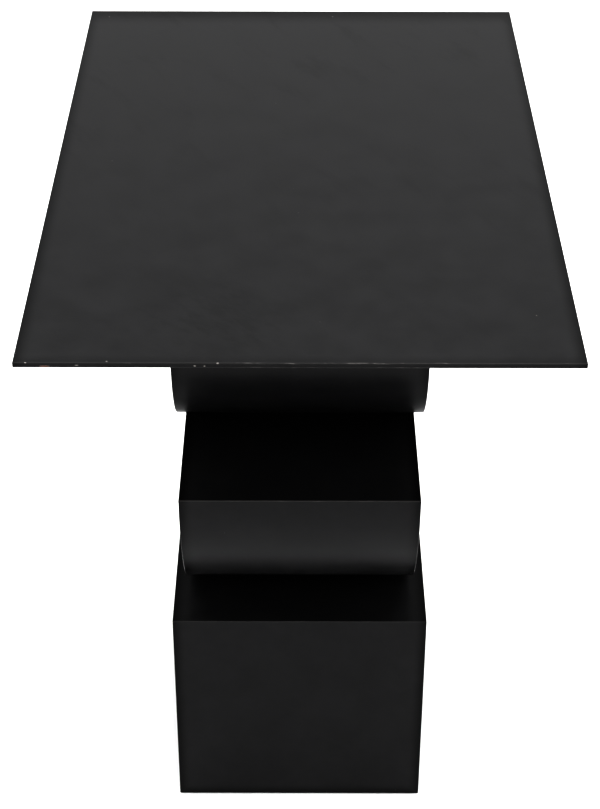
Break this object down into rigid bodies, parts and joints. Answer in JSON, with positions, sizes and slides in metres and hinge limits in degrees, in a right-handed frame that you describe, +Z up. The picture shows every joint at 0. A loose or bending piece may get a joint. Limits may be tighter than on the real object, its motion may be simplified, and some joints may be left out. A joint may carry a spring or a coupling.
{
  "type": "drafting table",
  "caption": "Black steel table: a thin flat top on a pedestal of stacked closed forms, a box, a half cylinder flat side up and a drum, held by hidden clamp bolts.",
  "frame": {"origin": "on the floor, under the centre of the top", "axes": "+Z up; Y along the table's length, the front end at -Y; X across it, along the axes of the drum and the half cylinder"},
  "size_m": [0.5, 0.775, 0.76],
  "materials": {
    "top_paint": "satin black powder coat",
    "body_paint": "satin black powder coat",
    "bare_steel": "mill finish, unpainted inside",
    "zinc_steel": "zinc plated",
    "pad_rubber": "matte"
  },
  "bodies": {
    "root": {"anchor_back_left": "bare_steel", "anchor_back_right": "bare_steel", "anchor_front_left": "bare_steel", "anchor_front_right": "bare_steel", "ballast_plate": "bare_steel", "ballast_screws": "zinc_steel", "base_cover": "body_paint", "block_left_end": "body_paint", "block_rib": "bare_steel", "block_right_end": "body_paint", "block_skin": "body_paint", "block_top": "body_paint", "box_back": "body_paint", "box_front": "body_paint", "box_left": "body_paint", "box_right": "body_paint", "box_top": "body_paint", "clamp_bar_back": "bare_steel", "clamp_bar_front": "bare_steel", "clamp_bolts": "zinc_steel", "clamp_sleeves": "bare_steel", "clamp_washers": "zinc_steel", "cover_nuts": "zinc_steel", "cover_screws": "zinc_steel", "drum_left_end": "body_paint", "drum_rib": "bare_steel", "drum_right_end": "body_paint", "drum_skin": "body_paint", "flange_back": "body_paint", "flange_front": "body_paint", "flange_left": "body_paint", "flange_right": "body_paint", "foot_pads": "pad_rubber", "lower_saddle_back": "body_paint", "lower_saddle_front": "body_paint", "middle_saddle_back": "body_paint", "middle_saddle_front": "body_paint", "top_plate": "top_paint", "top_saddle_back": "body_paint", "top_saddle_front": "body_paint"}
  },
  "joints": []
}
